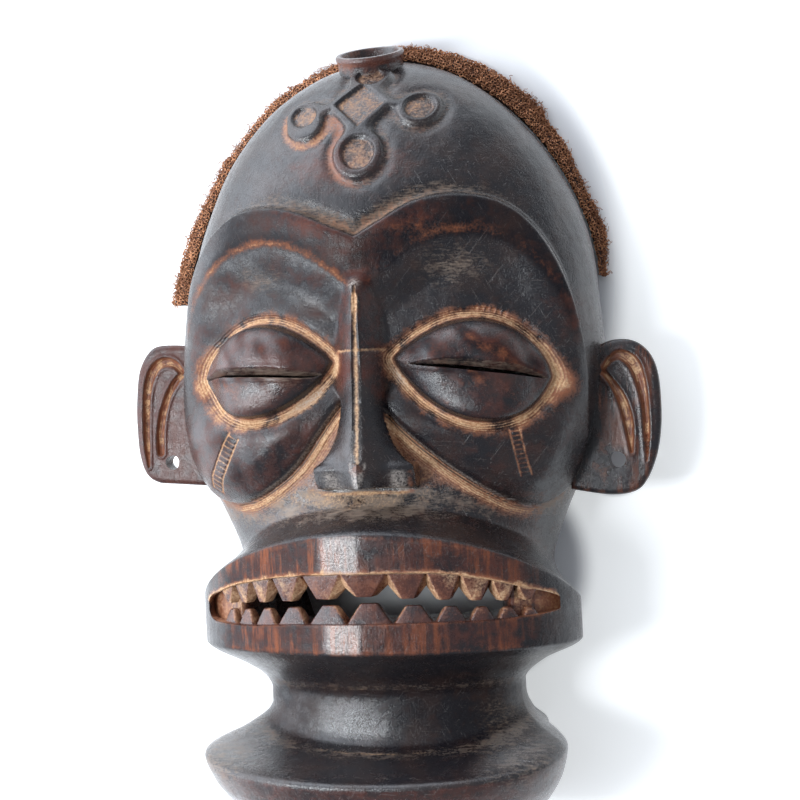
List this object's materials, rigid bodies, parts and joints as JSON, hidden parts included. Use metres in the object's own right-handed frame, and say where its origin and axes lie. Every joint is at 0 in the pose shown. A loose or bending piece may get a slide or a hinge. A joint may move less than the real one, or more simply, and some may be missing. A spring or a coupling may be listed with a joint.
{
  "type": "carved wooden face mask",
  "caption": "Carved wooden face mask with closed eyes, filed teeth, pierced ears, a collar foot, a crown tube and a knotted fibre edge, lying on its open back.",
  "frame": {"origin": "middle of the mask's length and width, on the plane of its back rim", "axes": "+Z the way the face looks, +Y towards the crown, +X towards the mask's left ear, which is on the right of a viewer in front of it"},
  "size_m": [0.21, 0.3008, 0.0879],
  "materials": {
    "dark_wood": "dark oiled and handled wood with a satin sheen, ochre dust in the cuts and red-brown wear on the edges",
    "fibre_netting": "rust-brown knotted plant fibre, dry and frayed"
  },
  "bodies": {
    "root": {"carved_mask": "dark_wood", "knotted_netting": "fibre_netting"}
  },
  "joints": []
}
